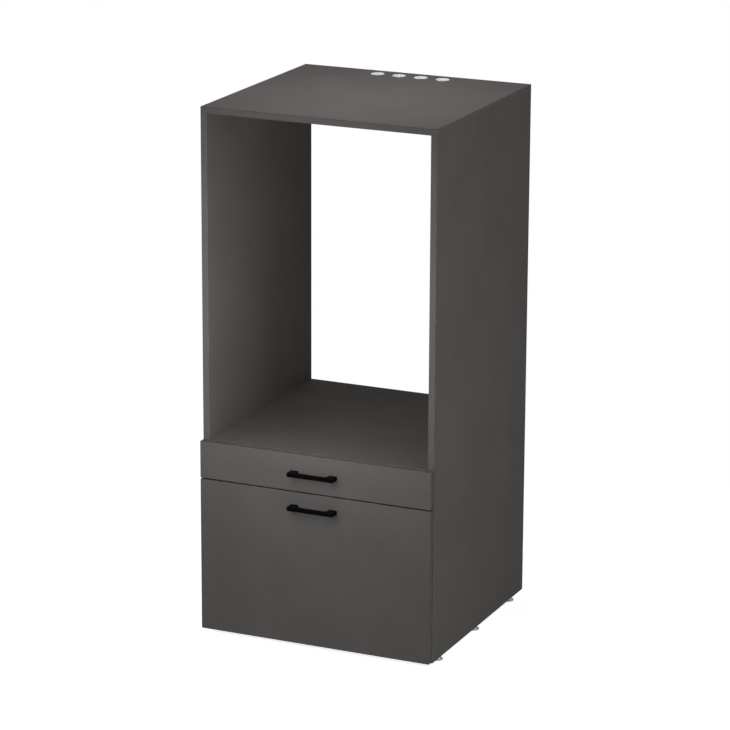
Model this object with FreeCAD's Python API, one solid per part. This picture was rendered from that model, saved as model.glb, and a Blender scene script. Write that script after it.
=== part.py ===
import FreeCAD, Part
import math
import os

Vector = FreeCAD.Vector

# A tall cabinet that carries a washing machine in an open niche over a shallow and a deep drawer.
# Millimetres. X runs along the width, the front faces -Y and Z is up. The origin is on the floor, in the
# middle of the width and of the whole depth from the handles' faces to the rear edges.

# Carcass boards
cabinet_width = 675.0
carcass_depth = 648.0
carcass_height = 1448.0
board = 18.0
floor_board = 25.0
niche_floor_level = 537.0
edge_bevel = 0.7

# Dowels between the boards
dowel_diameter = 8.0
dowel_length = 32.0
dowel_face_depth = 12.0
dowel_from_edge = 110.0
back_dowel_from_edge = 90.0
dowel_clearance = 0.1
dowel_end_room = 1.0

# Cam fittings that draw the boards together
cam_diameter = 15.0
cam_height = 12.5
cam_from_joint = 24.0
cam_beside_dowel = 32.0
cam_clearance = 0.15
cam_slot_width = 2.2
cam_slot_depth = 2.0
bolt_diameter = 6.0
bolt_head_diameter = 6.6
bolt_head_length = 3.0
bolt_neck_diameter = 4.0
bolt_neck_length = 4.0
bolt_face_depth = 11.0
bolt_below_face = 9.0

# White sleeves that line the four holes in the top
sleeve_count = 4
sleeve_pitch = 64.5
sleeve_from_rear = 47.0
sleeve_barrel_diameter = 33.0
sleeve_bore_diameter = 20.0
sleeve_mouth_depth = 4.0
sleeve_mouth_steps = 6
sleeve_flange_width = 2.0
sleeve_flange_height = 0.8
sleeve_flange_bevel = 0.4
sleeve_tail = 2.0
sleeve_clearance = 0.2

# Levelling feet
foot_height = 7.0
foot_disc_diameter = 33.0
foot_disc_height = 3.0
foot_disc_bevel = 1.0
foot_hex_width = 15.0
foot_screw_in_room = 1.5
foot_from_front = 54.0
foot_from_rear = 87.0
stem_diameter = 8.0
stem_length = 24.0
insert_diameter = 11.0
insert_length = 24.0
insert_clearance = 0.1
stem_clearance = 0.3
stem_end_room = 3.0

# Drawer fronts and the gaps around them
front_thickness = 18.0
front_standoff = 3.0
front_side_reveal = 0.5
front_bottom_reveal = 3.5
front_gap = 3.0
upper_front_height = 103.0
buffer_diameter = 8.0
buffer_from_top = 28.0
buffer_clearance = 0.1

# Drawer boxes
box_board = 15.0
box_tail = 5.4
box_under_floor = 8.0
upper_box_lift = 8.5
lower_box_lift = 12.0
lower_box_drop = 23.5
bottom_sheet = 5.0
bottom_rise = 12.0
groove_depth = 7.0
groove_clearance = 0.2

# Bridge handles and their screws
handle_hole_pitch = 128.0
handle_end = 3.5
handle_height = 11.2
handle_projection = 27.0
handle_bar_depth = 9.0
handle_leg_width = 22.0
handle_inner_radius = 8.0
handle_bevel = 0.8
lower_handle_drop = 40.5
screw_diameter = 4.0
screw_head_diameter = 9.0
screw_head_height = 2.5
screw_in_handle = 12.0
screw_clearance = 0.2

# Ball-bearing runners: three nested rails, with two ball cages between them
rail_height = 45.0
rail_sheet = 1.0
rail_setback = 3.0
rail_rear_room = 77.0
lower_rail_rise = 100.0
flange_bend_radius = 1.5
web_bend_radius = 0.9
ball_radius = 1.35
race_clearance = 0.3
balls_in_row = 5
ball_sides = 6
ball_end = 0.8
cage_sheet = 0.5
cage_gap = 0.3
cage_bend_radius = 0.5
cage_overlap = 0.8
cage_end_room = 15.0
pocket_clearance = 0.15
drawer_rail_gap = 1.0
groove_start = 235.0
groove_sweep = 75.0
hook_sweep = 140.0
cabinet_lip_sweep = 75.0
drawer_lip_sweep = 55.0

# Levels and planes that follow from the sizes above
half_width = cabinet_width / 2
inner_half = half_width - board
overall_depth = handle_projection + front_thickness + front_standoff + carcass_depth
front_face = handle_projection - overall_depth / 2
front_back = front_face + front_thickness
carcass_front = front_back + front_standoff
carcass_rear = carcass_front + carcass_depth
carcass_base = foot_height
carcass_top = carcass_base + carcass_height
top_underside = carcass_top - board
floor_top = carcass_base + niche_floor_level
floor_underside = floor_top - floor_board
base_top = carcass_base + board
back_face = carcass_rear - board
side_middle = half_width - board / 2

upper_front_base = floor_top - upper_front_height
lower_front_top = upper_front_base - front_gap
lower_front_base = carcass_base + front_bottom_reveal
upper_handle_level = floor_top - upper_front_height / 2
lower_handle_level = lower_front_top - lower_handle_drop

upper_box = (upper_front_base + upper_box_lift, floor_underside - box_under_floor)
lower_box = (base_top + lower_box_lift, lower_front_top - lower_box_drop)
upper_rail_level = (upper_box[0] + upper_box[1]) / 2
lower_rail_level = lower_box[0] + lower_rail_rise

rail_front = carcass_front + rail_setback
rail_length = back_face - rail_rear_room - rail_front
box_rear = rail_front + rail_length + box_tail
travel = rail_length

# The rails' cross-section: u leads from the cabinet's side to the drawer, v up from the rail's middle
race_radius = ball_radius + race_clearance + rail_sheet / 2
middle_web = 1.5 * rail_sheet + 2 * cage_gap + cage_sheet
groove_reach = web_bend_radius + race_radius
outer_ball = (
    middle_web + web_bend_radius - groove_reach * math.cos(math.radians(groove_start)),
    rail_height / 2 - rail_sheet - ball_radius - race_clearance,
)
hook_angle = math.radians(groove_start + groove_sweep)
inner_ball = (
    outer_ball[0] + 2 * race_radius * math.cos(hook_angle),
    outer_ball[1] + 2 * race_radius * math.sin(hook_angle),
)
drawer_web = inner_ball[0] + race_radius + rail_sheet + drawer_rail_gap
runner_width = drawer_web + rail_sheet / 2
box_half = inner_half - runner_width
outer_cage_web = rail_sheet + cage_gap + cage_sheet / 2
inner_cage_web = middle_web + rail_sheet / 2 + cage_gap + cage_sheet / 2


def block(x, y, z):
    """Box between the two values of each pair."""
    return Part.makeBox(x[1] - x[0], y[1] - y[0], z[1] - z[0], Vector(x[0], y[0], z[0]))


def bevelled(shape, size, chosen):
    """The shape with a bevel on the edges whose bounding box passes the test."""
    return shape.makeChamfer(size, [e for e in shape.Edges if chosen(e.BoundBox)])


def every_edge(box):
    return True


def upright(box):
    return box.ZLength > box.XLength + box.YLength


def along_front(box):
    return abs(box.YMax - carcass_front) < edge_bevel and box.XLength > board


def above_joint(box):
    return box.ZMax > carcass_top - edge_bevel


def left_and_right(shape):
    """A shape on the right-hand side, and its mirror image on the left."""
    return {"right": shape, "left": shape.mirror(Vector(0, 0, 0), Vector(1, 0, 0))}


def rod(start, direction, length, diameter):
    return Part.makeCylinder(diameter / 2, length, start, direction)


def revolved(points):
    """Solid turned about Z from an outline of (radius, height) points."""
    outline = Part.makePolygon([Vector(r, 0, z) for r, z in points + points[:1]])
    return Part.Face(outline).revolve(Vector(0, 0, 0), Vector(0, 0, 1), 360)


def joint_rod(joint, in_face, in_end, diameter):
    """Rod across a board joint: joint is a point on it and the direction into the board's face."""
    point, into_face = joint
    return rod(point - into_face * in_end, into_face, in_face + in_end, diameter)


def shelf_joints(level, from_edge):
    """Joints along X between a shelf's ends and the two sides."""
    places = []
    for side in (-1, 1):
        for y in (carcass_front + from_edge, carcass_rear - from_edge):
            places.append((Vector(side * inner_half, y, level), Vector(side, 0, 0)))
    return places


def top_joints(x, from_edge):
    """Upright joints between the sides' top ends and the top."""
    places = []
    for side in (-1, 1):
        for y in (carcass_front + from_edge, carcass_rear - from_edge):
            places.append((Vector(side * x, y, top_underside), Vector(0, 0, 1)))
    return places


def back_joints():
    """Joints along X between the lower back's ends and the sides."""
    places = []
    for side in (-1, 1):
        for z in (base_top + back_dowel_from_edge, floor_underside - back_dowel_from_edge):
            places.append((Vector(side * inner_half, back_face + board / 2, z), Vector(side, 0, 0)))
    return places


def dowel_set():
    """Dowels of every board joint, and the holes that they stand in."""
    joints = top_joints(side_middle, dowel_from_edge)
    joints += shelf_joints(floor_top - floor_board / 2, dowel_from_edge)
    joints += shelf_joints(carcass_base + board / 2, dowel_from_edge)
    joints += back_joints()
    in_end = dowel_length - dowel_face_depth
    wide = dowel_diameter + 2 * dowel_clearance
    dowels = [joint_rod(j, dowel_face_depth, in_end, dowel_diameter) for j in joints]
    holes = [joint_rod(j, dowel_face_depth + dowel_end_room, in_end + dowel_end_room, wide) for j in joints]
    return dowels, Part.makeCompound(holes)


def cam_bolt(joint, extra):
    """Bolt that is screwed into a board's face and reaches into a cam; extra widens it for its hole."""
    point, into_face = joint
    out = into_face * -1
    shank_length = cam_from_joint - bolt_neck_length
    shank = rod(point + into_face * (bolt_face_depth + extra), out, bolt_face_depth + extra + shank_length,
                bolt_diameter + 2 * extra)
    neck = rod(point + out * shank_length, out, bolt_neck_length, bolt_neck_diameter + 2 * extra)
    head = rod(point + out * (cam_from_joint - extra), out, bolt_head_length + 2 * extra,
               bolt_head_diameter + 2 * extra)
    return shank.fuse([neck, head]).removeSplitter()


def cam_set():
    """Cams under the niche floor and in the sides below the top, their bolts, and the holes for both."""
    from_edge = dowel_from_edge + cam_beside_dowel
    housed = [(joint, Vector(0, 0, 1), floor_underside)
              for joint in shelf_joints(floor_underside + bolt_below_face, from_edge)]
    housed += [(joint, Vector(math.copysign(1, joint[0].x), 0, 0), inner_half)
               for joint in top_joints(inner_half + bolt_below_face, from_edge)]
    cams, bolts, holes = [], [], []
    for joint, into_board, face in housed:
        point, into_face = joint
        centre = point - into_face * (cam_from_joint + bolt_head_length / 2)
        mouth = Vector(centre)
        if into_board.z:
            mouth.z = face
        else:
            mouth.x = math.copysign(face, centre.x)
        body = rod(mouth, into_board, cam_height, cam_diameter)
        slot = block((-cam_diameter, cam_diameter), (-cam_slot_width / 2, cam_slot_width / 2),
                     (-cam_slot_depth, cam_slot_depth))
        slot.Placement = FreeCAD.Placement(mouth, FreeCAD.Rotation(Vector(0, 0, 1), into_board))
        cams.append(body.cut([slot, cam_bolt(joint, cam_clearance)]))
        bolts.append(cam_bolt(joint, 0.0))
        holes.append(rod(mouth, into_board, cam_height + cam_clearance, cam_diameter + 2 * cam_clearance))
        drill = bolt_head_diameter + 4 * cam_clearance
        holes.append(rod(point - into_face * cam_from_joint, into_face, cam_from_joint, drill))
        wide = bolt_diameter + 2 * cam_clearance
        holes.append(joint_rod(joint, bolt_face_depth + dowel_end_room, 0.0, wide))
    return cams, bolts, Part.makeCompound(holes)


def sleeve_places():
    first = -sleeve_pitch * (sleeve_count - 1) / 2
    y = carcass_rear - sleeve_from_rear
    return [Vector(first + i * sleeve_pitch, y, carcass_top) for i in range(sleeve_count)]


def vent_sleeve():
    """Flanged sleeve about Z with a rounded mouth, its flange's underside at zero."""
    bore = sleeve_bore_diameter / 2
    barrel = sleeve_barrel_diameter / 2
    flange = barrel + sleeve_flange_width
    end = -(board + sleeve_tail)
    rim = sleeve_flange_height - sleeve_flange_bevel
    throat = sleeve_flange_height - sleeve_mouth_depth
    turns = [math.pi / 2 * (1 - i / sleeve_mouth_steps) for i in range(sleeve_mouth_steps + 1)]
    lip = barrel - bore
    mouth = [(barrel - lip * math.cos(a), throat + sleeve_mouth_depth * math.sin(a)) for a in turns]
    return revolved([(bore, end), (barrel, end), (barrel, 0.0), (flange, 0.0), (flange, rim),
                     (flange - sleeve_flange_bevel, sleeve_flange_height)] + mouth)


def foot_rows():
    """Places of the feet along the depth, by name."""
    front = carcass_front + foot_from_front
    rear = carcass_rear - foot_from_rear
    return {"front": front, "middle": (front + rear) / 2, "rear": rear}


def levelling_foot(y):
    """Bevelled disc with a hexagon to turn it by and a screw stem, under the right-hand side."""
    radius = foot_disc_diameter / 2
    rim = foot_disc_height - foot_disc_bevel
    hex_top = foot_height - foot_screw_in_room
    stem = stem_diameter / 2
    turned = revolved([(0.0, 0.0), (radius, 0.0), (radius, rim), (radius - foot_disc_bevel, foot_disc_height),
                       (stem, foot_disc_height), (stem, hex_top + stem_length), (0.0, hex_top + stem_length)])
    corner = foot_hex_width / math.sqrt(3)
    turns = [i * math.pi / 3 for i in range(7)]
    corners = [Vector(corner * math.cos(a), corner * math.sin(a), foot_disc_height) for a in turns]
    nut = Part.Face(Part.makePolygon(corners)).extrude(Vector(0, 0, hex_top - foot_disc_height))
    return turned.fuse(nut).removeSplitter().translated(Vector(side_middle, y, 0))


def foot_insert(y):
    """Threaded bush in the lower end of the right-hand side, plain inside, and the hole that takes it."""
    start = Vector(side_middle, y, carcass_base)
    up = Vector(0, 0, 1)
    bush = rod(start, up, insert_length, insert_diameter)
    bush = bush.cut(rod(start, up, insert_length, stem_diameter + 2 * stem_clearance))
    stem_reach = stem_length - foot_screw_in_room + stem_end_room
    hole = rod(start, up, max(insert_length, stem_reach), insert_diameter + 2 * insert_clearance)
    return bush, hole


def carcass_boards(holes):
    """The six boards of the carcass, drilled."""
    depth = (carcass_front, carcass_rear)
    between = (-inner_half, inner_half)
    side = block((inner_half, half_width), depth, (carcass_base, top_underside))
    side = bevelled(side, edge_bevel, upright)
    top = bevelled(block((-half_width, half_width), depth, (top_underside, carcass_top)), edge_bevel,
                   above_joint)
    floor = bevelled(block(between, depth, (floor_underside, floor_top)), edge_bevel, along_front)
    boards = {
        "top_panel": top,
        "niche_floor": floor,
        "bottom_panel": bevelled(block(between, depth, (carcass_base, base_top)), edge_bevel, along_front),
        "lower_back_panel": block(between, (back_face, carcass_rear), (base_top, floor_underside)),
    }
    for hand, shape in left_and_right(side).items():
        boards["side_panel_" + hand] = shape
    return {name: shape.cut(holes) for name, shape in boards.items()}


def advance(place, turn, size):
    """Next (u, v, heading) of a bent sheet: a straight run where turn is 0, or else a bend of that radius."""
    u, v, heading = place
    a = math.radians(heading)
    if turn == 0:
        return u + size * math.cos(a), v + size * math.sin(a), heading
    b = a + math.radians(turn)
    arm = math.copysign(size, turn)
    return u + arm * (math.sin(b) - math.sin(a)), v - arm * (math.cos(b) - math.cos(a)), heading + turn


def beside(place, distance):
    """Point to the left of a (u, v, heading), on the right-hand runner."""
    u, v, heading = place
    a = math.radians(heading)
    return Vector(inner_half - (u - distance * math.sin(a)), 0, v + distance * math.cos(a))


def bent_sheet(web, half, sheet, length):
    """Sheet of one section, bent alike above and below: half leads from the middle of the web to a lip."""
    place = (web, 0.0, 90.0)
    for turn, size in half:
        place = advance(place, turn, size)
    place = (place[0], -place[1], 180.0 - place[2])
    edges = [Part.makeLine(beside(place, -sheet / 2), beside(place, sheet / 2))]
    for turn, size in half[::-1] + half:
        middle = advance(place, turn / 2, size if turn else size / 2)
        after = advance(place, turn, size)
        for offset in (-sheet / 2, sheet / 2):
            ends = beside(place, offset), beside(after, offset)
            if turn:
                edges.append(Part.Arc(ends[0], beside(middle, offset), ends[1]).toShape())
            else:
                edges.append(Part.makeLine(*ends))
        place = after
    edges.append(Part.makeLine(beside(place, -sheet / 2), beside(place, sheet / 2)))
    outline = Part.Wire(Part.__sortEdges__(edges))
    return Part.Face(outline).extrude(Vector(0, length, 0))


def cabinet_rail():
    """Rail on the cabinet's side: a channel whose lips curl over the outer balls."""
    half = [
        (0, rail_height / 2 - rail_sheet / 2 - flange_bend_radius),
        (-90, flange_bend_radius),
        (0, outer_ball[0] - rail_sheet / 2 - flange_bend_radius),
        (-cabinet_lip_sweep, race_radius),
    ]
    return bent_sheet(rail_sheet / 2, half, rail_sheet, rail_length)


def middle_rail():
    """Middle rail: each flange dips under the outer balls and then hooks over the inner ones."""
    half = [
        (0, outer_ball[1] + groove_reach * math.sin(math.radians(groove_start))),
        (groove_start - 360, web_bend_radius),
        (groove_sweep, race_radius),
        (-hook_sweep, race_radius),
    ]
    return bent_sheet(middle_web, half, rail_sheet, rail_length)


def drawer_rail():
    """Rail on the drawer's side: a channel whose lips curl up around the inner balls."""
    half = [
        (0, inner_ball[1] - race_radius - flange_bend_radius),
        (90, flange_bend_radius),
        (0, drawer_web - flange_bend_radius - inner_ball[0]),
        (-drawer_lip_sweep, race_radius),
    ]
    return bent_sheet(drawer_web, half, rail_sheet, rail_length)


def bearing_ball():
    """Ball inside its own sphere, with few faces because there are many; its ends are cut at that share."""
    rings = []
    for level in (-ball_end, 0.0, ball_end):
        share = math.sqrt(1 - level ** 2)
        corners = []
        for i in range(ball_sides + 1):
            a = 2 * math.pi * i / ball_sides
            corners.append(Vector(share * math.cos(a), share * math.sin(a), level) * ball_radius)
        rings.append(Part.makePolygon(corners))
    return Part.makeLoft(rings, True, True)


def ball_cage(web, ball):
    """Cage of one pair of ball rows, with its balls: a thin channel with a notch for each ball.

    The cage moves half as fast as the rail that it carries, so it is half as long and starts in the middle.
    """
    length = rail_length / 2 - cage_end_room
    half = [
        (0, ball[1] - cage_bend_radius),
        (-90, cage_bend_radius),
        (0, ball[0] + cage_overlap - web - cage_bend_radius),
    ]
    cage = bent_sheet(web, half, cage_sheet, length)
    pitch = length / balls_in_row
    reach = ball_radius + pocket_clearance
    notches, balls = [], []
    for i in range(balls_in_row):
        y = (i + 0.5) * pitch
        for v in (-ball[1], ball[1]):
            centre = Vector(inner_half - ball[0], y, v)
            notches.append(block((centre.x - reach, centre.x + reach), (y - reach, y + reach),
                                 (v - reach, v + reach)))
            balls.append(bearing_ball().translated(centre))
    set_back = Vector(0, (rail_length - length) / 2, 0)
    return Part.makeCompound([cage.cut(notches)] + balls).translated(set_back)


def runner_parts(name, level):
    """Rails and cages of a drawer's two runners."""
    sections = {
        name + "_cabinet_rail": cabinet_rail(),
        name + "_middle_rail": middle_rail(),
        name + "_drawer_rail": drawer_rail(),
        name + "_outer_ball_cage": ball_cage(outer_cage_web, outer_ball),
        name + "_inner_ball_cage": ball_cage(inner_cage_web, inner_ball),
    }
    parts = {}
    for node, shape in sections.items():
        for hand, handed in left_and_right(shape.translated(Vector(0, rail_front, level))).items():
            parts[node + "_" + hand] = handed
    return parts


def bridge_handle(level):
    """Flat bridge handle with wide legs, rounded where the legs meet the bar."""
    end = handle_hole_pitch / 2 + handle_end
    tip = front_face - handle_projection
    leg = end - handle_leg_width
    bar = tip + handle_bar_depth
    r = handle_inner_radius
    k = r * (1 - math.sqrt(0.5))

    def at(x, y):
        return Vector(x, y, level - handle_height / 2)

    edges = [
        Part.makeLine(at(-leg, front_face), at(-end, front_face)),
        Part.makeLine(at(-end, front_face), at(-end, tip)),
        Part.makeLine(at(-end, tip), at(end, tip)),
        Part.makeLine(at(end, tip), at(end, front_face)),
        Part.makeLine(at(end, front_face), at(leg, front_face)),
        Part.makeLine(at(leg, front_face), at(leg, bar + r)),
        Part.Arc(at(leg, bar + r), at(leg - k, bar + k), at(leg - r, bar)).toShape(),
        Part.makeLine(at(leg - r, bar), at(r - leg, bar)),
        Part.Arc(at(r - leg, bar), at(k - leg, bar + k), at(-leg, bar + r)).toShape(),
        Part.makeLine(at(-leg, bar + r), at(-leg, front_face)),
    ]
    body = Part.Face(Part.Wire(edges)).extrude(Vector(0, 0, handle_height))

    def outer_edge(box):
        at_end = box.XLength < handle_bevel and abs(box.XMax) > leg + handle_bevel
        return box.YMin < tip + handle_bevel or (at_end and box.YLength > handle_bevel)

    return bevelled(body, handle_bevel, outer_edge)


def handle_fixings(level):
    """Screws of one handle from inside the drawer, and the holes that they pass through."""
    inside = front_back + box_board
    shank = box_board + front_thickness + screw_in_handle
    screws, holes = [], []
    for x in (-handle_hole_pitch / 2, handle_hole_pitch / 2):
        seat = Vector(x, inside, level)
        out = Vector(0, -1, 0)
        head = rod(seat, Vector(0, 1, 0), screw_head_height, screw_head_diameter)
        screws.append(head.fuse(rod(seat, out, shank, screw_diameter)).removeSplitter())
        holes.append(rod(seat, out, shank + screw_clearance, screw_diameter + 2 * screw_clearance))
    return screws, Part.makeCompound(holes)


def front_buffers(front_top):
    """Soft buffers on a front's back, which meet the front edges of the sides."""
    level = front_top - buffer_from_top
    thick = front_standoff - buffer_clearance
    return [rod(Vector(x, front_back, level), Vector(0, 1, 0), thick, buffer_diameter)
            for x in (-side_middle, side_middle)]


def drawer_box(base, top):
    """Four box boards around a bottom that is held in a groove all round."""
    z = (base, top)
    inside = box_half - box_board
    groove_base = base + bottom_rise
    groove_top = groove_base + bottom_sheet + 2 * groove_clearance
    box_front = (front_back, front_back + box_board)
    box_back = (box_rear - box_board, box_rear)
    groove = block((-inside - groove_depth, inside + groove_depth),
                   (box_front[1] - groove_depth, box_back[0] + groove_depth), (groove_base, groove_top))
    sheet_half = inside + groove_depth - groove_clearance
    sheet_depth = (box_front[1] - groove_depth + groove_clearance,
                   box_back[0] + groove_depth - groove_clearance)
    sheet_z = (groove_base + groove_clearance, groove_top - groove_clearance)
    parts = {
        "box_front": block((-inside, inside), box_front, z).cut(groove),
        "box_back": block((-inside, inside), box_back, z).cut(groove),
        "box_bottom": block((-sheet_half, sheet_half), sheet_depth, sheet_z),
    }
    side = block((inside, box_half), (front_back, box_rear), z).cut(groove)
    for hand, shape in left_and_right(side).items():
        parts["box_" + hand] = shape
    return parts


def drawer(name, front_levels, box_levels, handle_level, rail_level):
    """All nodes of one drawer with its runners."""
    front_half = half_width - front_side_reveal
    front = block((-front_half, front_half), (front_face, front_back), front_levels)
    screws, holes = handle_fixings(handle_level)
    parts = drawer_box(*box_levels)
    parts["box_front"] = parts["box_front"].cut(holes)
    parts["drawer_front"] = bevelled(front, edge_bevel, every_edge).cut(holes)
    parts["handle"] = bridge_handle(handle_level).cut(holes)
    parts["handle_screws"] = Part.makeCompound(screws)
    parts["front_buffers"] = Part.makeCompound(front_buffers(front_levels[1]))
    nodes = {name + "_" + node: shape for node, shape in parts.items()}
    nodes.update(runner_parts(name, rail_level))
    return nodes


def carcass():
    """Boards, joinery, sleeves, feet and their inserts."""
    dowels, dowel_holes = dowel_set()
    cams, bolts, cam_holes = cam_set()
    sleeves = [vent_sleeve().translated(place) for place in sleeve_places()]
    drill = sleeve_barrel_diameter + 2 * sleeve_clearance
    sleeve_holes = [rod(place, Vector(0, 0, -1), board, drill) for place in sleeve_places()]
    nodes, inserts, insert_holes = {}, [], []
    for row, y in foot_rows().items():
        bush, hole = foot_insert(y)
        inserts += left_and_right(bush).values()
        insert_holes += left_and_right(hole).values()
        for hand, shape in left_and_right(levelling_foot(y)).items():
            nodes["foot_" + row + "_" + hand] = shape
    nodes.update(carcass_boards([dowel_holes, cam_holes] + sleeve_holes + insert_holes))
    nodes["dowels"] = Part.makeCompound(dowels)
    nodes["cam_locks"] = Part.makeCompound(cams)
    nodes["cam_bolts"] = Part.makeCompound(bolts)
    nodes["vent_sleeves"] = Part.makeCompound(sleeves)
    nodes["foot_inserts"] = Part.makeCompound(inserts)
    return nodes


nodes = carcass()
nodes.update(drawer("upper", (upper_front_base, floor_top), upper_box, upper_handle_level, upper_rail_level))
nodes.update(drawer("lower", (lower_front_base, lower_front_top), lower_box, lower_handle_level,
                    lower_rail_level))

os.makedirs("parts", exist_ok=True)
for node, shape in nodes.items():
    shape.exportStep("parts/" + node + ".step")
print(len(nodes), "nodes; travel", round(travel, 1), "mm; runner", round(runner_width, 2), "mm wide")
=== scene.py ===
import bpy
import math
from mathutils import Matrix, Quaternion, Vector


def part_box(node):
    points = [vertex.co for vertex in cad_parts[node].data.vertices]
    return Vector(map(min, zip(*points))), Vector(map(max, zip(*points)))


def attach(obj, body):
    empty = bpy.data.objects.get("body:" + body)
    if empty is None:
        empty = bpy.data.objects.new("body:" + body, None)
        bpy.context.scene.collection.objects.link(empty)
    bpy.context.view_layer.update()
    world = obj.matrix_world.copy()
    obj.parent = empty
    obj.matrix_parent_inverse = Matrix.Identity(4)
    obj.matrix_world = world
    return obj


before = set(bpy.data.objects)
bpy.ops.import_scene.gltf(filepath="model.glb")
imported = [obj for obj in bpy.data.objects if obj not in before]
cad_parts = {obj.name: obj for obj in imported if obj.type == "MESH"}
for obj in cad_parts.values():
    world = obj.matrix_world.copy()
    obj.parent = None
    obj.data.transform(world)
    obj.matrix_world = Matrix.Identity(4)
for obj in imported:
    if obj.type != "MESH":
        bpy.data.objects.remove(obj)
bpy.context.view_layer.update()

drawers = ("upper", "lower")
hands = {"left": -1, "right": 1}  # with the sign of X on that hand
midNoise = (0.3, 0.7)  # most values of a noise lie between these


# node tree helpers

def addNode(tree, kind, values=None, **settings):
    node = tree.nodes.new("ShaderNode" + kind)
    for key, value in settings.items():
        setattr(node, key, value)
    for key, value in (values or {}).items():
        node.inputs[key].default_value = value
    return node


def wire(tree, outSocket, inSocket):
    tree.links.new(outSocket, inSocket)


# a number is set on the socket, and another socket is linked to it
def feed(tree, value, inSocket):
    if isinstance(value, (int, float)):
        inSocket.default_value = value
    else:
        wire(tree, value, inSocket)


def mathNode(tree, operation, *values):
    node = addNode(tree, "Math", operation=operation)
    for slot, value in enumerate(values):
        feed(tree, value, node.inputs[slot])
    return node.outputs[0]


# one operation over several values, from left to right
def chain(tree, operation, first, *others):
    for other in others:
        first = mathNode(tree, operation, first, other)
    return first


def vectorMath(tree, operation, *vectors, output="Vector"):
    node = addNode(tree, "VectorMath", operation=operation)
    for slot, vector in enumerate(vectors):
        wire(tree, vector, node.inputs[slot])
    return node.outputs[output]


def axisParts(tree, vector):
    node = addNode(tree, "SeparateXYZ")
    wire(tree, vector, node.inputs[0])
    return list(node.outputs)


def remap(tree, value, fromRange, toRange=(0.0, 1.0), smooth=False):
    node = addNode(tree, "MapRange", {"From Min": fromRange[0], "From Max": fromRange[1],
                                      "To Min": toRange[0], "To Max": toRange[1]})
    node.interpolation_type = "SMOOTHSTEP" if smooth else "LINEAR"
    wire(tree, value, node.inputs["Value"])
    return node.outputs["Result"]


def mixColours(tree, factor, first, second):
    node = addNode(tree, "Mix", data_type="RGBA")
    wire(tree, factor, node.inputs[0])
    for slot, colour in ((6, first), (7, second)):  # the colour sockets of a Mix node
        if isinstance(colour, tuple):
            node.inputs[slot].default_value = (*colour, 1)
        else:
            wire(tree, colour, node.inputs[slot])
    return node.outputs[2]


def objectPoint(tree, output="Object"):
    return addNode(tree, "TexCoord").outputs[output]


def noiseTexture(tree, values, scale, point=None):
    node = addNode(tree, "TexNoise", values)
    wire(tree, objectPoint(tree) if point is None else point, node.inputs["Vector"])
    feed(tree, scale, node.inputs["Scale"])
    return node.outputs["Fac"]


def newGroup(name, takes, gives):
    group = bpy.data.node_groups.new(name, "ShaderNodeTree")
    for label, kind, value in takes:
        socket = group.interface.new_socket(name=label, in_out="INPUT",
                                            socket_type="NodeSocket" + kind)
        socket.default_value = value
    for label in gives:
        group.interface.new_socket(name=label, in_out="OUTPUT", socket_type="NodeSocketFloat")
    entry = group.nodes.new("NodeGroupInput")
    leave = group.nodes.new("NodeGroupOutput")
    return group, entry.outputs, leave.inputs


def useGroup(tree, group, values):
    return addNode(tree, "Group", values, node_tree=group).outputs


# an output for each noise of a group, at the scale that the group is given for it
def layerNoise(group, given, made, layers, point=None):
    for label, values in layers.items():
        wire(group, noiseTexture(group, values, given[label + " Scale"], point), made[label])


# pressed pearl texture of laminate: slow clouds in the tone and a fine grain
pearlNoise = {"Cloud": {"Detail": 4.0, "Roughness": 0.55},
              "Grain": {"Detail": 2.0, "Roughness": 0.55}}


def makeBoardGrain():
    group, given, made = newGroup("boardGrain", [
        ("Offset", "Vector", (0, 0, 0)),
        ("Cloud Scale", "Float", 6.0), ("Grain Scale", "Float", 700.0)], pearlNoise)
    shifted = vectorMath(group, "ADD", objectPoint(group), given["Offset"])
    layerNoise(group, given, made, pearlNoise, shifted)
    return group


# glued edge band: a fine seam on the wide faces, one band thickness in from the board's edges,
# and on the edges a fine line where the laminate sheet ends
bandFit = {"faceDepth": 0.0003}  # what lies less deep than this is on a wide face


# a mask of the points that lie within halfWidth of a place
def lineAt(tree, distance, place, halfWidth):
    off = mathNode(tree, "ABSOLUTE", mathNode(tree, "SUBTRACT", distance, place))
    return mathNode(tree, "LESS_THAN", off, halfWidth)


def makeEdgeBand():
    group, given, made = newGroup("edgeBand", [
        ("Low", "Vector", (0, 0, 0)), ("High", "Vector", (1, 1, 1)), ("Flat", "Vector", (0, 0, 1)),
        ("Band", "Float", 0.001), ("Seam", "Float", 0.00025),
        ("Sheet", "Float", 0.0008), ("Sheet Seam", "Float", 0.0002)], ["Seam", "Edge"])
    point = objectPoint(group)
    fromLow = vectorMath(group, "SUBTRACT", point, given["Low"])
    fromHigh = vectorMath(group, "SUBTRACT", given["High"], point)
    nearest = vectorMath(group, "MINIMUM", fromLow, fromHigh)
    depth = vectorMath(group, "DOT_PRODUCT", nearest, given["Flat"], output="Value")
    across = vectorMath(group, "ADD", nearest, given["Flat"])  # the thickness is left out
    toEdge = chain(group, "MINIMUM", *axisParts(group, across))
    onFace = mathNode(group, "LESS_THAN", depth, bandFit["faceDepth"])
    onEdge = mathNode(group, "SUBTRACT", 1.0, onFace)
    seam = lineAt(group, toEdge, given["Band"], given["Seam"])
    sheetEnd = lineAt(group, depth, given["Sheet"], given["Sheet Seam"])
    lines = mathNode(group, "ADD", mathNode(group, "MULTIPLY", seam, onFace),
                     mathNode(group, "MULTIPLY", sheetEnd, onEdge))
    wire(group, lines, made["Seam"])
    wire(group, onEdge, made["Edge"])
    return group


# rubbed arrises: faces that aren't square to an axis are bevels, and wear breaks up along them
rubbedArris = {"bevel": (0.98, 0.8), "breaks": (0.38, 0.68),
               "noise": {"Detail": 5.0, "Roughness": 0.65}}


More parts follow.
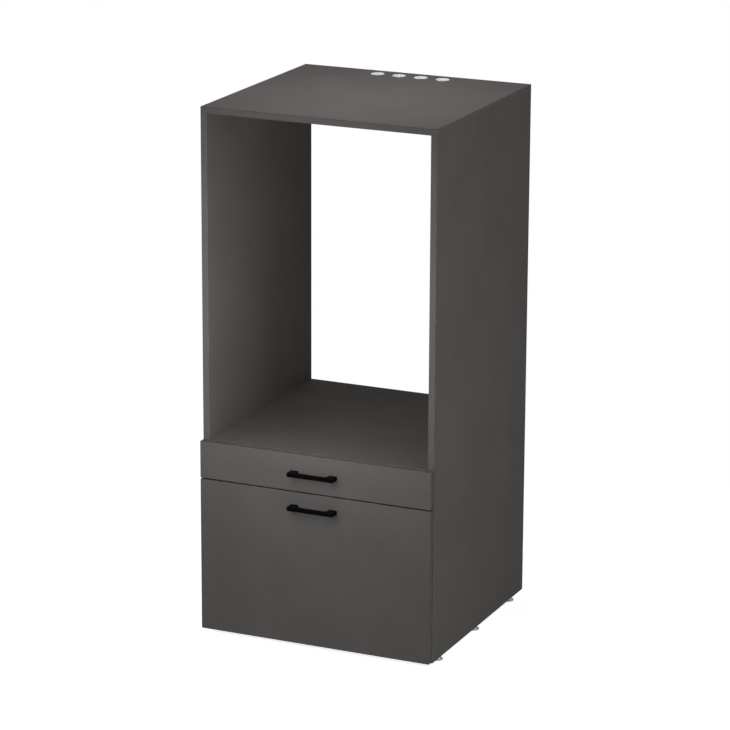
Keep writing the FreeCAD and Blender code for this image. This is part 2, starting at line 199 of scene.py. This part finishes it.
def makeEdgeWear():
    group, given, made = newGroup("edgeWear", [("Scale", "Float", 45.0), ("Amount", "Float", 0.5)],
                                  ["Wear"])
    bends = vectorMath(group, "ABSOLUTE", objectPoint(group, "Normal"))
    straight = chain(group, "MAXIMUM", *axisParts(group, bends))
    arris = remap(group, straight, rubbedArris["bevel"], smooth=True)
    rubbing = noiseTexture(group, rubbedArris["noise"], given["Scale"])
    broken = remap(group, rubbing, rubbedArris["breaks"], smooth=True)
    wire(group, chain(group, "MULTIPLY", arris, broken, given["Amount"]), made["Wear"])
    return group


# a mask of faces that look up, in patches: a thin film of dust; it also lays the painted shade
# under the gap between the fronts and part of the handles' painted sheen
settledDust = {"upward": (0.6, 1.0), "patches": (0.3, 0.8), "cover": (0.2, 1.0),
               "noise": {"Detail": 8.0, "Roughness": 0.7}}


def makeDustFilm():
    group, given, made = newGroup("dustAndPaintedLight", [("Scale", "Float", 9.0), ("Amount", "Float", 0.1)],
                                  ["Dust"])
    tilt = axisParts(group, objectPoint(group, "Normal"))
    upward = remap(group, tilt[2], settledDust["upward"], smooth=True)
    settling = noiseTexture(group, settledDust["noise"], given["Scale"])
    patches = remap(group, settling, settledDust["patches"], settledDust["cover"])
    wire(group, chain(group, "MULTIPLY", upward, patches, given["Amount"]), made["Dust"])
    return group


# rolled sheet: lines along the rolling direction, under the fine crystals of the zinc
rolledLines = {"scale": 1.0, "noise": {"Detail": 3.0, "Roughness": 0.6}}


def makeRolledZinc():
    group, given, made = newGroup("rolledZinc", [
        ("Stretch", "Vector", (400, 6, 400)), ("Crystal Scale", "Float", 260.0)],
        ["Lines", "Crystals"])
    drawn = vectorMath(group, "MULTIPLY", objectPoint(group), given["Stretch"])
    lines = noiseTexture(group, rolledLines["noise"], rolledLines["scale"], drawn)
    wire(group, lines, made["Lines"])
    cells = addNode(group, "TexVoronoi")
    wire(group, objectPoint(group), cells.inputs["Vector"])
    wire(group, given["Crystal Scale"], cells.inputs["Scale"])
    tones = addNode(group, "SeparateColor")
    wire(group, cells.outputs["Color"], tones.inputs[0])
    wire(group, tones.outputs[0], made["Crystals"])
    return group


# moulded or powder-coated skin: soft dimples and a slow drift in gloss
mouldNoise = {"Dimple": {"Detail": 1.0, "Roughness": 0.5},
              "Drift": {"Detail": 3.0, "Roughness": 0.5}}


def makeMouldSkin():
    group, given, made = newGroup("mouldSkin", [
        ("Dimple Scale", "Float", 1500.0), ("Drift Scale", "Float", 30.0)], mouldNoise)
    layerNoise(group, given, made, mouldNoise)
    return group


boardGrain = makeBoardGrain()
edgeBand = makeEdgeBand()
edgeWear = makeEdgeWear()
dustAndPaintedLight = makeDustFilm()
rolledZinc = makeRolledZinc()
mouldSkin = makeMouldSkin()
print("groups:", ", ".join(g.name for g in bpy.data.node_groups))


def newMaterial(name, finish):
    material = bpy.data.materials.new(name)
    material.use_nodes = True
    tree = material.node_tree
    shader = tree.nodes["Principled BSDF"]
    for label, value in finish.items():
        shader.inputs[label].default_value = value
    return material, tree, shader


def finishSkin(tree, shader, colour, gloss, height, strength, depth):
    wire(tree, colour, shader.inputs["Base Color"])
    wire(tree, gloss, shader.inputs["Roughness"])
    bump = addNode(tree, "Bump", {"Strength": strength, "Distance": depth})
    wire(tree, height, bump.inputs["Height"])
    wire(tree, bump.outputs[0], shader.inputs["Normal"])


def paint(nodes, material):
    for name in nodes:
        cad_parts[name].material_slots[0].material = material


# laminated boards, one skin each so that the clouds and the bands follow that board
laminate = {
    "dark": (0.0957, 0.0903, 0.0864), "light": (0.1049, 0.099, 0.0947),
    "speck": (0.1335, 0.128, 0.1232), "speckFrom": (0.62, 0.8), "speckShare": (0.0, 0.5),
    "seam": (0.041, 0.039, 0.038), "seamShare": 0.7,
    "worn": (0.24, 0.232, 0.222), "wear": {"Amount": 0.55},
    "dust": (0.4, 0.385, 0.37), "film": {"Amount": 0.05},
    "roughness": (0.70, 0.82), "edgeGloss": 0.05, "sheen": 0.06, "bump": 0.06, "bumpDepth": 0.00008,
    "cloudStep": (0.37, 0.61, 0.23),  # from one board's clouds to the next one's
    # painted light: the top's wide faces are tinted warm for warm light from above, and the left
    # side's wide faces are made lighter for the light that falls on them; the edges keep the plain
    # tone
    "paintedLightTint": {"top_panel": (1.016, 0.965, 0.99), "side_panel_left": (1.04, 1.04, 1.04)},
    # painted shade: a near-black colour on the lower front's upward edge, under the gap between the
    # fronts, where shade falls
    "gapShade": {"lower_drawer_front": (0.013, 0.0125, 0.012)},
    # painted shade: the patches and strength of the mask that lays the gap's shade
    "gapShadeFilm": {"Scale": 20.0, "Amount": 1.5},
    # depth and half width of the sheet's line, where it shows more on the edge
    "sheetLine": {"top_panel": {"Sheet": 0.001, "Sheet Seam": 0.0004}},
    # per board: the axis across its thickness, the axes whose ends have no band, its edges' tone
    "boards": {
        "side_panel_left": ((1, 0, 0), (0, 0, 1), 1.0),
        "side_panel_right": ((1, 0, 0), (0, 0, 1), 1.0),
        "top_panel": ((0, 0, 1), (0, 0, 0), 1.0),
        "niche_floor": ((0, 0, 1), (1, 0, 0), 1.0),
        "bottom_panel": ((0, 0, 1), (1, 0, 0), 1.0),
        "lower_back_panel": ((0, 1, 0), (1, 0, 1), 1.0),
        "upper_drawer_front": ((0, 1, 0), (0, 0, 0), 0.8),
        "lower_drawer_front": ((0, 1, 0), (0, 0, 0), 0.8),
    },
}


def tinted(colour, tint):
    return tuple(part * share for part, share in zip(colour, tint))


def laminateSkin(name, number):
    flat, bare, edgeTone = laminate["boards"][name]
    material, tree, shader = newMaterial(name + "Laminate",
                                         {"Specular IOR Level": laminate["sheen"]})
    low, high = (Vector(corner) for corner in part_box(name))
    low, high = low - Vector(bare), high + Vector(bare)  # an edge with no band goes out of reach
    offset = [step * number for step in laminate["cloudStep"]]
    grain = useGroup(tree, boardGrain, {"Offset": offset})
    band = useGroup(tree, edgeBand, {"Low": low, "High": high, "Flat": flat,
                                     **laminate["sheetLine"].get(name, {})})
    wear = useGroup(tree, edgeWear, laminate["wear"])
    dust = useGroup(tree, dustAndPaintedLight, laminate["film"])
    clouds = remap(tree, grain["Cloud"], midNoise, smooth=True)
    specks = remap(tree, grain["Grain"], laminate["speckFrom"], laminate["speckShare"])
    # painted light: the tint of the wide faces, for light that falls on the top and the left side;
    # the edges keep the plain colour
    tint = laminate["paintedLightTint"].get(name, (1, 1, 1))
    dark, light, speck = (tinted(laminate[tone], tint) for tone in ("dark", "light", "speck"))
    colour = mixColours(tree, clouds, dark, light)
    colour = mixColours(tree, specks, colour, speck)
    if name in laminate["paintedLightTint"]:
        plain = mixColours(tree, clouds, laminate["dark"], laminate["light"])
        colour = mixColours(tree, band["Edge"], colour, plain)
    seams = mathNode(tree, "MULTIPLY", band["Seam"], laminate["seamShare"])
    colour = mixColours(tree, seams, colour, laminate["seam"])
    if edgeTone < 1:
        colour = mixColours(tree, band["Edge"], colour, tinted(laminate["dark"], (edgeTone,) * 3))
    # painted shade on the lower front's upward edge, under the gap between the fronts
    if name in laminate["gapShade"]:
        gapShadeFilm = useGroup(tree, dustAndPaintedLight, laminate["gapShadeFilm"])
        colour = mixColours(tree, gapShadeFilm["Dust"], colour, laminate["gapShade"][name])
    colour = mixColours(tree, wear["Wear"], colour, laminate["worn"])
    colour = mixColours(tree, dust["Dust"], colour, laminate["dust"])
    gloss = remap(tree, grain["Grain"], midNoise, laminate["roughness"])
    smoother = mathNode(tree, "MULTIPLY", band["Edge"], laminate["edgeGloss"])
    gloss = mathNode(tree, "SUBTRACT", gloss, smoother)
    finishSkin(tree, shader, colour, gloss, grain["Grain"], laminate["bump"], laminate["bumpDepth"])
    return material


for number, name in enumerate(laminate["boards"]):
    paint([name], laminateSkin(name, number))
print("laminate:", len(laminate["boards"]), "boards")


# drawer boxes: light melamine boards around a coated sheet
boxBoard = {
    "melamine": {"dark": (0.33, 0.33, 0.325), "light": (0.37, 0.37, 0.362),
                 "fleck": (0.27, 0.27, 0.265), "cloud": 9.0, "grain": 420.0,
                 "roughness": (0.42, 0.55), "bump": 0.08},
    "sheet": {"dark": (0.40, 0.40, 0.39), "light": (0.44, 0.44, 0.43),
              "fleck": (0.33, 0.33, 0.325), "cloud": 5.0, "grain": 900.0,
              "roughness": (0.36, 0.46), "bump": 0.05},
    "fleckFrom": (0.58, 0.72), "fleckShare": (0.0, 0.35), "sheen": 0.35, "bumpDepth": 0.0001,
    "worn": (0.5, 0.49, 0.47), "wear": {"Amount": 0.3},
    "dust": (0.24, 0.23, 0.22), "film": {"Amount": 0.04, "Scale": 14.0},
    "boards": ("left", "right", "front", "back"),
}


def boxSkin(name, look):
    material, tree, shader = newMaterial(name, {"Specular IOR Level": boxBoard["sheen"]})
    grain = useGroup(tree, boardGrain, {"Cloud Scale": look["cloud"], "Grain Scale": look["grain"]})
    wear = useGroup(tree, edgeWear, boxBoard["wear"])
    dust = useGroup(tree, dustAndPaintedLight, boxBoard["film"])
    clouds = remap(tree, grain["Cloud"], midNoise, smooth=True)
    flecks = remap(tree, grain["Grain"], boxBoard["fleckFrom"], boxBoard["fleckShare"])
    colour = mixColours(tree, clouds, look["dark"], look["light"])
    colour = mixColours(tree, flecks, colour, look["fleck"])
    colour = mixColours(tree, wear["Wear"], colour, boxBoard["worn"])
    colour = mixColours(tree, dust["Dust"], colour, boxBoard["dust"])
    gloss = remap(tree, grain["Grain"], midNoise, look["roughness"])
    finishSkin(tree, shader, colour, gloss, grain["Grain"], look["bump"], boxBoard["bumpDepth"])
    return material


melamine = boxSkin("boxMelamine", boxBoard["melamine"])
bottomSheet = boxSkin("bottomSheet", boxBoard["sheet"])
for drawer in drawers:
    paint([f"{drawer}_box_{board}" for board in boxBoard["boards"]], melamine)
    paint([f"{drawer}_box_bottom"], bottomSheet)
print("boxes: boards and bottoms")


# zinc-plated steel of the runners and fixings
zinc = {
    "runner": {"dark": (0.35, 0.36, 0.375), "light": (0.52, 0.53, 0.545),
               "roughness": (0.28, 0.44), "stretch": (500, 5, 500), "crystals": 240.0},
    "fixing": {"dark": (0.34, 0.345, 0.355), "light": (0.50, 0.505, 0.52),
               "roughness": (0.34, 0.5), "stretch": (120, 120, 120), "crystals": 900.0},
    "lineShare": 0.6, "crystalShare": 0.4, "blendRange": (0.2, 0.8),
    "worn": (0.74, 0.74, 0.75), "wear": {"Scale": 90.0, "Amount": 0.35},
    "bump": 0.08, "bumpDepth": 0.0001,
    "rollers": ("cabinet_rail", "middle_rail", "drawer_rail", "outer_ball_cage", "inner_ball_cage"),
    "fixings": ("cam_locks", "cam_bolts", "foot_inserts"),
}


def zincSkin(name, look):
    material, tree, shader = newMaterial(name, {"Metallic": 1.0})
    rolled = useGroup(tree, rolledZinc, {"Stretch": look["stretch"],
                                         "Crystal Scale": look["crystals"]})
    wear = useGroup(tree, edgeWear, zinc["wear"])
    lines = mathNode(tree, "MULTIPLY", rolled["Lines"], zinc["lineShare"])
    crystals = mathNode(tree, "MULTIPLY", rolled["Crystals"], zinc["crystalShare"])
    blend = mathNode(tree, "ADD", lines, crystals)
    colour = mixColours(tree, blend, look["dark"], look["light"])
    colour = mixColours(tree, wear["Wear"], colour, zinc["worn"])
    gloss = remap(tree, blend, zinc["blendRange"], look["roughness"])
    finishSkin(tree, shader, colour, gloss, rolled["Lines"], zinc["bump"], zinc["bumpDepth"])
    return material


runnerSteel = zincSkin("runnerZinc", zinc["runner"])
fixingSteel = zincSkin("fixingZinc", zinc["fixing"])
for drawer in drawers:
    paint([f"{drawer}_{part}_{hand}" for part in zinc["rollers"] for hand in hands], runnerSteel)
    paint([f"{drawer}_handle_screws"], fixingSteel)
paint(zinc["fixings"], fixingSteel)
print("zinc: runners and fixings")


# moulded and coated small parts
moulded = {
    "handleBlack": {
        "dark": (0.0012, 0.0012, 0.0012), "light": (0.002, 0.0019, 0.0018),
        # painted highlight: the handles' lighter worn arrises are partly wear and partly painted
        # highlight along the edges, and their dust is partly a painted sheen on the tops of the
        # legs
        "worn": (0.014, 0.014, 0.014), "wear": 0.25, "dust": 0.012,
        "roughness": (0.5, 0.62), "sheen": 0.012, "dimples": 1400.0, "bump": 0.12,
        "nodes": ("upper_handle", "lower_handle")},
    "sleeveWhite": {
        "dark": (0.89, 0.885, 0.875), "light": (0.93, 0.925, 0.915),
        "worn": (0.94, 0.94, 0.93), "wear": 0.3,
        "roughness": (0.34, 0.46), "sheen": 0.4, "dimples": 1800.0, "bump": 0.05,
        "nodes": ("vent_sleeves",)},
    "footGrey": {
        "dark": (0.88, 0.88, 0.87), "light": (0.93, 0.93, 0.92),
        "worn": (0.94, 0.94, 0.93), "wear": 0.4,
        "roughness": (0.4, 0.55), "sheen": 0.35, "dimples": 1200.0, "bump": 0.1,
        "nodes": [f"foot_{row}_{hand}" for row in ("front", "middle", "rear") for hand in hands]},
    "bufferClear": {
        "dark": (0.55, 0.56, 0.56), "light": (0.62, 0.63, 0.63),
        "worn": (0.7, 0.7, 0.7), "wear": 0.1,
        "roughness": (0.25, 0.35), "sheen": 0.5, "dimples": 900.0, "bump": 0.04,
        "nodes": ("upper_front_buffers", "lower_front_buffers")},
    "dowelBeech": {
        "dark": (0.46, 0.31, 0.18), "light": (0.60, 0.43, 0.27),
        "worn": (0.66, 0.5, 0.34), "wear": 0.2,
        "roughness": (0.6, 0.75), "sheen": 0.3, "dimples": 600.0, "bump": 0.2,
        "nodes": ("dowels",)},
}
mouldedScale = {"wear": 140.0, "dust": 60.0, "bumpDepth": 0.0001}  # the same for all of them


def mouldedSkin(name, look):
    material, tree, shader = newMaterial(name, {"Specular IOR Level": look["sheen"]})
    skin = useGroup(tree, mouldSkin, {"Dimple Scale": look["dimples"]})
    wear = useGroup(tree, edgeWear, {"Scale": mouldedScale["wear"], "Amount": look["wear"]})
    drift = remap(tree, skin["Drift"], midNoise, smooth=True)
    colour = mixColours(tree, drift, look["dark"], look["light"])
    colour = mixColours(tree, wear["Wear"], colour, look["worn"])
    # dust on faces that look up; on the handles it is partly a painted sheen on their tops
    if "dust" in look:
        dust = useGroup(tree, dustAndPaintedLight, {"Scale": mouldedScale["dust"], "Amount": look["dust"]})
        colour = mixColours(tree, dust["Dust"], colour, laminate["dust"])
    gloss = remap(tree, skin["Drift"], midNoise, look["roughness"])
    finishSkin(tree, shader, colour, gloss, skin["Dimple"], look["bump"], mouldedScale["bumpDepth"])
    return material


for name, look in moulded.items():
    paint(look["nodes"], mouldedSkin(name, look))
print("moulded:", ", ".join(moulded))


# small screws: a head with a crossed recess for each use, modelled in millimetres and copied
screwHeads = {  # recess: reach, width and depth
    "pan": {"radius": 3.4, "height": 1.7, "round": 1.0, "recess": (1.9, 0.85, 1.0)},
    "raised": {"radius": 3.7, "height": 0.8, "round": 0.65, "recess": (1.8, 0.8, 0.6)},
    "flush": {"radius": 3.4, "height": 0.14, "round": 0.1, "recess": (1.8, 0.8, 0.1)},
}
headShape = {"sunk": 0.4, "sides": 32, "roundSteps": 5, "recessTaper": 0.55, "smoothAngle": 35.0,
             "endFace": 0.5}  # a face whose normal rises or falls by more is an end
screwRows = {
    "millimetre": 0.001, "turnStep": 37.0,
    "railSheet": 0.001,
    "alongRail": (0.028, 0.188, 0.356, 0.522),  # from a rail's front end
    # up from a box's lower edge
    "cornerLevels": {"upper": (0.007, 0.0545), "lower": (0.038, 0.198, 0.348)},
    # to either side of the middle, and up the box front
    "frontFixings": {"upper": ((0.235, 0.039), (0.13, 0.039)),
                     "lower": ((0.235, 0.06), (0.235, 0.33), (0.12, 0.195))},
}


def selectFaces(piece, chosen):
    bpy.ops.object.mode_set(mode="EDIT")
    bpy.ops.mesh.select_mode(type="FACE")
    bpy.ops.mesh.select_all(action="DESELECT")
    bpy.ops.object.mode_set(mode="OBJECT")
    for face in piece.data.polygons:
        face.select = chosen(face)
    bpy.ops.object.mode_set(mode="EDIT")


def cutRecess(head, reach, width, depth, top):
    bpy.ops.object.select_all(action="DESELECT")
    bpy.ops.mesh.primitive_cube_add(size=1.0, location=(0, 0, top))
    driver = bpy.context.object
    selectFaces(driver, lambda face: True)
    bpy.ops.transform.resize(value=(2 * reach, width, 2 * depth))
    selectFaces(driver, lambda face: face.normal.z < -headShape["endFace"])
    bpy.ops.transform.resize(value=(headShape["recessTaper"],) * 3)  # narrower at its floor
    bpy.ops.object.mode_set(mode="OBJECT")
    for quarter in (0, 1):
        driver.rotation_euler.z = quarter * math.pi / 2
        cut = head.modifiers.new("cross", "BOOLEAN")
        cut.operation, cut.solver, cut.object = "DIFFERENCE", "EXACT", driver
        bpy.context.view_layer.objects.active = head
        bpy.ops.object.modifier_apply(modifier=cut.name)
    bpy.data.objects.remove(driver)


def makeHead(name):
    look = screwHeads[name]
    tall = look["height"] + headShape["sunk"]
    bpy.ops.object.select_all(action="DESELECT")
    bpy.ops.mesh.primitive_cylinder_add(vertices=headShape["sides"], radius=look["radius"],
                                        depth=tall)
    head = bpy.context.object
    head.name = name + "Head"
    selectFaces(head, lambda face: True)
    bpy.ops.transform.translate(value=(0, 0, look["height"] - tall / 2))
    selectFaces(head, lambda face: face.normal.z > headShape["endFace"])
    bpy.ops.mesh.bevel(offset=look["round"], segments=headShape["roundSteps"], affect="EDGES")
    bpy.ops.object.mode_set(mode="OBJECT")
    cutRecess(head, *look["recess"], look["height"])
    return head


def setScrews(name, body, heads):
    copies = []
    toMetres = Matrix.Scale(screwRows["millimetre"], 4)
    for number, (kind, place, facing) in enumerate(heads):
        copy = headMasters[kind].copy()
        copy.data = headMasters[kind].data.copy()
        bpy.context.collection.objects.link(copy)
        upright = Vector((0, 0, 1)).rotation_difference(Vector(facing)).to_matrix().to_4x4()
        turned = Matrix.Rotation(math.radians(screwRows["turnStep"] * number), 4, "Z")
        copy.matrix_world = Matrix.Translation(place) @ upright @ turned @ toMetres
        copies.append(copy)
    bpy.ops.object.select_all(action="DESELECT")
    for copy in copies:
        copy.select_set(True)
    bpy.context.view_layer.objects.active = copies[0]
    bpy.ops.object.transform_apply(location=True, rotation=True, scale=True)
    bpy.ops.object.join()
    bpy.ops.object.shade_smooth_by_angle(angle=math.radians(headShape["smoothAngle"]))
    piece = bpy.context.object
    piece.name = name
    piece.data.materials.append(fixingSteel)
    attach(piece, body)
    return len(heads)


def railScrews(drawer, part, kind, inward):
    heads = []
    for hand, side in hands.items():
        low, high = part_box(f"{drawer}_{part}_{hand}")
        # a cabinet rail's web is its outer sheet, a drawer rail's is its inner one
        webAtHigh = inward == (side > 0)
        webFace = high[0] - screwRows["railSheet"] if webAtHigh else low[0] + screwRows["railSheet"]
        level = (low[2] + high[2]) / 2
        facing = (-side if inward else side, 0, 0)
        heads += [(kind, (webFace, low[1] + along, level), facing)
                  for along in screwRows["alongRail"]]
    return heads


def boxScrews(drawer):
    heads = []
    for hand, side in hands.items():
        low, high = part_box(f"{drawer}_box_{hand}")
        outside = high[0] if side > 0 else low[0]
        for end in ("front", "back"):
            near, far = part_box(f"{drawer}_box_{end}")
            heads += [("raised", (outside, (near[1] + far[1]) / 2, low[2] + rise), (side, 0, 0))
                      for rise in screwRows["cornerLevels"][drawer]]
    low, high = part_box(f"{drawer}_box_front")
    for across, rise in screwRows["frontFixings"][drawer]:
        heads += [("pan", (side * across, high[1], low[2] + rise), (0, 1, 0))
                  for side in hands.values()]
    return heads


headMasters = {name: makeHead(name) for name in screwHeads}
count = 0
for drawer in drawers:
    count += setScrews(drawer + "BoxScrews", f"{drawer}_drawer", boxScrews(drawer))
    count += setScrews(drawer + "DrawerRailScrews", f"{drawer}_drawer",
                       railScrews(drawer, "drawer_rail", "pan", False))
    count += setScrews(drawer + "CabinetRailScrews", "carcass",
                       railScrews(drawer, "cabinet_rail", "flush", True))
for master in headMasters.values():
    bpy.data.objects.remove(master)
print("screws:", count, "heads")


# studio: pale floor, soft lamps and the photograph's camera
paperFloor = {"reach": 30.0, "bounce": 0.88, "seenShade": 0.92, "seenGlow": 0.82, "farGlow": 1.0,
              "shadowZone": (0.9, 1.9)}
studioLamps = {  # place, aim, size and watts
    "nearLamp": ((-0.1, -0.95, 1.15), (-0.1, 0.0, 0.95), (0.7, 0.7), 2.93),
    "middleLamp": ((-0.03, -0.8, 0.85), (-0.03, 0.0, 0.8), (0.4, 0.6), 1.72),
    "nicheLamp": ((0.0, -0.6, 1.2), (-0.02, -0.15, 0.6), (0.4, 0.3), 0.74),
    "brinkLamp": ((-0.05, -0.5, 0.85), (-0.08, -0.15, 0.5), (0.3, 0.2), 0.28),
    "overheadLamp": ((0.02, -0.05, 2.2), (0.02, -0.05, 1.4), (0.5, 0.5), 6.15),
    "rightLamp": ((2.4, -0.9, 0.7), (0.3, -0.1, 0.6), (1.2, 1.2), 6.4),
    "rightHighLamp": ((2.2, -0.7, 1.7), (0.3, -0.1, 0.4), (1.2, 1.2), 9.0),
    "leftLamp": ((-2.4, -0.9, 0.7), (-0.3, -0.1, 0.6), (1.2, 1.2), 16.5),
    "rightFrontLamp": ((2.3, -1.9, 0.8), (0.2, -0.3, 0.6), (1.2, 1.2), 17.8),
    "leftFrontLamp": ((-2.3, -1.9, 0.8), (-0.2, -0.3, 0.6), (1.2, 1.2), 7.5),
    "rearLamp": ((-2.0, 2.8, 0.3), (0.0, 0.35, 0.5), (1.4, 0.4), 72.0),
}
roomGlow = {"ambient": 0.015, "seen": 1.0}
photoCamera = {"place": (3.6341, -8.0959, 3.2581), "aim": (0.0037, 0.0, 0.714), "roll": 0.248,
               "focalPixels": 3398.9, "framePixels": 730, "clipEnd": 100.0}


def whiteRays(tree):
    path = addNode(tree, "LightPath")
    rays = ("Is Camera Ray", "Is Glossy Ray", "Is Transmission Ray")
    return chain(tree, "MAXIMUM", *(path.outputs[ray] for ray in rays))


def mixShaders(tree, factor, first, second):
    node = addNode(tree, "MixShader")
    for slot, part in enumerate((factor, first, second)):
        wire(tree, part, node.inputs[slot])
    return node.outputs[0]


def lookingAt(place, aim):
    return (Vector(aim) - Vector(place)).to_track_quat("-Z", "Y")


def layFloor():
    bpy.ops.object.select_all(action="DESELECT")
    bpy.ops.mesh.primitive_plane_add(size=paperFloor["reach"])
    floor = bpy.context.object
    floor.name = "paperFloor"
    material, tree, plain = newMaterial("floorPaper", {})
    tree.nodes.remove(plain)
    bounce, shade = (addNode(tree, "BsdfDiffuse", {"Color": (paperFloor[tone],) * 3 + (1,)})
                     for tone in ("bounce", "seenShade"))
    glow, white = (addNode(tree, "Emission", {"Strength": paperFloor[level]})
                   for level in ("seenGlow", "farGlow"))
    near = addNode(tree, "AddShader")
    wire(tree, shade.outputs[0], near.inputs[0])
    wire(tree, glow.outputs[0], near.inputs[1])
    away = vectorMath(tree, "LENGTH", objectPoint(tree), output="Value")
    far = remap(tree, away, paperFloor["shadowZone"], smooth=True)
    seen = mixShaders(tree, far, near.outputs[0], white.outputs[0])
    surface = mixShaders(tree, whiteRays(tree), bounce.outputs[0], seen)
    wire(tree, surface, tree.nodes["Material Output"].inputs["Surface"])
    floor.data.materials.append(material)


def lightRoom():
    world = bpy.data.worlds.new("studioRoom")
    bpy.context.scene.world = world
    world.use_nodes = True
    tree = world.node_tree
    ambient = tree.nodes["Background"]
    ambient.inputs["Color"].default_value = (1, 1, 1, 1)
    ambient.inputs["Strength"].default_value = roomGlow["ambient"]
    seen = addNode(tree, "Background", {"Color": (1, 1, 1, 1), "Strength": roomGlow["seen"]})
    surface = mixShaders(tree, whiteRays(tree), ambient.outputs[0], seen.outputs[0])
    wire(tree, surface, tree.nodes["World Output"].inputs["Surface"])
    for name, (place, aim, size, watts) in studioLamps.items():
        bpy.ops.object.light_add(type="AREA", location=place)
        light = bpy.context.object
        light.name = name
        light.rotation_euler = lookingAt(place, aim).to_euler()
        light.data.shape = "RECTANGLE"
        light.data.size, light.data.size_y = size
        light.data.energy = watts
        light.visible_camera = False


def placeCamera():
    bpy.ops.object.camera_add(location=photoCamera["place"])
    camera = bpy.context.object
    camera.name = "photoCamera"
    roll = Quaternion((0, 0, 1), math.radians(photoCamera["roll"]))
    camera.rotation_euler = (lookingAt(photoCamera["place"], photoCamera["aim"]) @ roll).to_euler()
    focalShare = photoCamera["focalPixels"] / photoCamera["framePixels"]
    camera.data.lens = focalShare * camera.data.sensor_width
    camera.data.clip_end = photoCamera["clipEnd"]
    bpy.context.scene.camera = camera


layFloor()
lightRoom()
placeCamera()
bpy.context.scene.view_settings.view_transform = "Standard"
print("studio:", len(studioLamps), "lamps")
